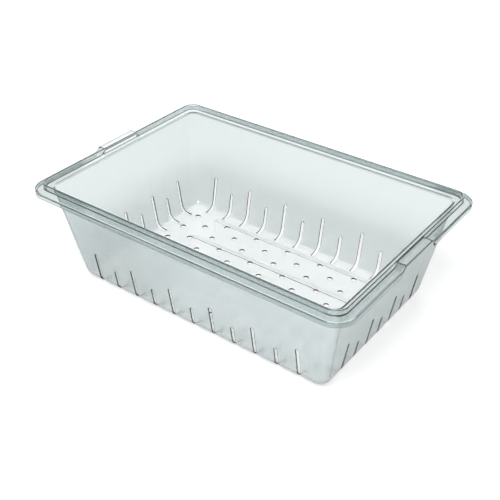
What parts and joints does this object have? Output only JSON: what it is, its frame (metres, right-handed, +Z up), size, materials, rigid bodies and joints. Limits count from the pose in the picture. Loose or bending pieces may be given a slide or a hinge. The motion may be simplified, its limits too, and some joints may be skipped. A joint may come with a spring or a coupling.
{
  "type": "food drain pan",
  "caption": "Clear plastic rectangular food pan with drain slots low in its walls, drain holes in its floor, a flanged rim with a lid rail and a handle at each short side.",
  "frame": {"origin": "middle of the footprint, on the surface that the foot ribs stand on", "axes": "+X along the long side towards the right-hand handle, +Y along the short side towards the back, +Z up through the opening"},
  "size_m": [0.66, 0.457, 0.209],
  "materials": {
    "clear_plastic": "clear, glossy, lightly scuffed"
  },
  "bodies": {
    "root": {"flange_back": "clear_plastic", "flange_corner_back_left": "clear_plastic", "flange_corner_back_right": "clear_plastic", "flange_corner_front_left": "clear_plastic", "flange_corner_front_right": "clear_plastic", "flange_front": "clear_plastic", "flange_left_back": "clear_plastic", "flange_left_front": "clear_plastic", "flange_right_back": "clear_plastic", "flange_right_front": "clear_plastic", "floor": "clear_plastic", "foot_rib_1": "clear_plastic", "foot_rib_2": "clear_plastic", "foot_rib_3": "clear_plastic", "foot_rib_4": "clear_plastic", "handle_left": "clear_plastic", "handle_right": "clear_plastic", "ledge_left": "clear_plastic", "ledge_right": "clear_plastic", "rail_back": "clear_plastic", "rail_corner_back_left": "clear_plastic", "rail_corner_back_right": "clear_plastic", "rail_corner_front_left": "clear_plastic", "rail_corner_front_right": "clear_plastic", "rail_front": "clear_plastic", "rail_left": "clear_plastic", "rail_right": "clear_plastic", "skirt_back": "clear_plastic", "skirt_corner_back_left": "clear_plastic", "skirt_corner_back_right": "clear_plastic", "skirt_corner_front_left": "clear_plastic", "skirt_corner_front_right": "clear_plastic", "skirt_front": "clear_plastic", "skirt_left_back": "clear_plastic", "skirt_left_front": "clear_plastic", "skirt_right_back": "clear_plastic", "skirt_right_front": "clear_plastic", "wall_back": "clear_plastic", "wall_corner_back_left": "clear_plastic", "wall_corner_back_right": "clear_plastic", "wall_corner_front_left": "clear_plastic", "wall_corner_front_right": "clear_plastic", "wall_front": "clear_plastic", "wall_left": "clear_plastic", "wall_right": "clear_plastic"}
  },
  "joints": []
}
